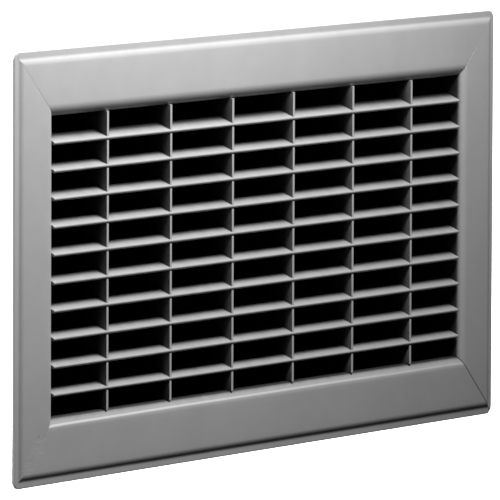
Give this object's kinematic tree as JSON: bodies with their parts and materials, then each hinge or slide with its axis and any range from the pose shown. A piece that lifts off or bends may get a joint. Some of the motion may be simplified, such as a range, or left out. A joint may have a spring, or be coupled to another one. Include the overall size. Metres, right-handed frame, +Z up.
{
  "type": "louvred air grille",
  "caption": "Rectangular steel air grille: mitred bevelled flange with a rear collar, tilted horizontal blades held in slotted vertical bars.",
  "frame": {"origin": "centre of the grille on the wall plane, which is the back of the flange's outer lip", "axes": "+X across the width, +Z up, +Y into the wall and the duct, so the visible face looks toward -Y"},
  "size_m": [0.4, 0.0197, 0.1968],
  "materials": {
    "frame_steel": "satin grey stoving enamel",
    "blade_steel": "satin grey stoving enamel",
    "bar_steel": "satin grey stoving enamel",
    "weld_steel": "painted weld bead"
  },
  "bodies": {
    "root": {"top_rail": "frame_steel", "bottom_rail": "frame_steel", "left_stile": "frame_steel", "right_stile": "frame_steel", "louvre_blade_01": "blade_steel", "louvre_blade_02": "blade_steel", "louvre_blade_03": "blade_steel", "louvre_blade_04": "blade_steel", "louvre_blade_05": "blade_steel", "louvre_blade_06": "blade_steel", "louvre_blade_07": "blade_steel", "louvre_blade_08": "blade_steel", "louvre_blade_09": "blade_steel", "louvre_blade_10": "blade_steel", "support_bar_1": "bar_steel", "support_bar_2": "bar_steel", "support_bar_3": "bar_steel", "support_bar_4": "bar_steel", "support_bar_5": "bar_steel", "support_bar_6": "bar_steel", "corner_weld_top_left": "weld_steel", "mitre_weld_top_left": "weld_steel", "corner_weld_top_right": "weld_steel", "mitre_weld_top_right": "weld_steel", "corner_weld_bottom_left": "weld_steel", "mitre_weld_bottom_left": "weld_steel", "corner_weld_bottom_right": "weld_steel", "mitre_weld_bottom_right": "weld_steel"}
  },
  "joints": []
}
